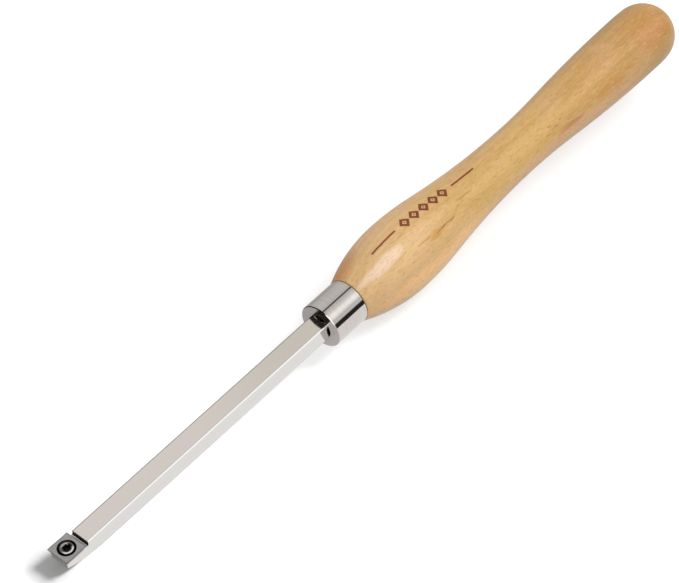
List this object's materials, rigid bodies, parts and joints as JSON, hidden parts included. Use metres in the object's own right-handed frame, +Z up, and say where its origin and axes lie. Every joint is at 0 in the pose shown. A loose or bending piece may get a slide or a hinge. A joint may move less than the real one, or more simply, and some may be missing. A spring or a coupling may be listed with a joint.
{
  "type": "carbide woodturning chisel",
  "caption": "Long wood-turning chisel: square polished steel bar with a screwed-on square carbide cutter, steel ferrule and a turned beech handle.",
  "frame": {"origin": "on the ground under the middle of the tool, which lies as it rests: on the swell of its handle and on the curved underside of its tip", "axes": "+X along the tool towards the butt of the handle, +Z up, +Y across the tool; the tool's own axis rises about 4 degrees towards the butt"},
  "size_m": [0.4524, 0.0394, 0.0515],
  "materials": {
    "bar_steel": "stainless steel, finely ground along its length and polished",
    "carbide": "sintered tungsten carbide with a ground top and sides",
    "screw_steel": "bright head with darkened seat and socket",
    "ferrule_steel": "turned and polished to a mirror",
    "beech": "fine-grained beech, turned, sanded and lacquered",
    "adhesive": "set epoxy, out of sight"
  },
  "bodies": {
    "root": {"tool_bar": "bar_steel", "carbide_insert": "carbide", "insert_screw": "screw_steel", "ferrule": "ferrule_steel", "handle": "beech", "adhesive": "adhesive"}
  },
  "joints": []
}
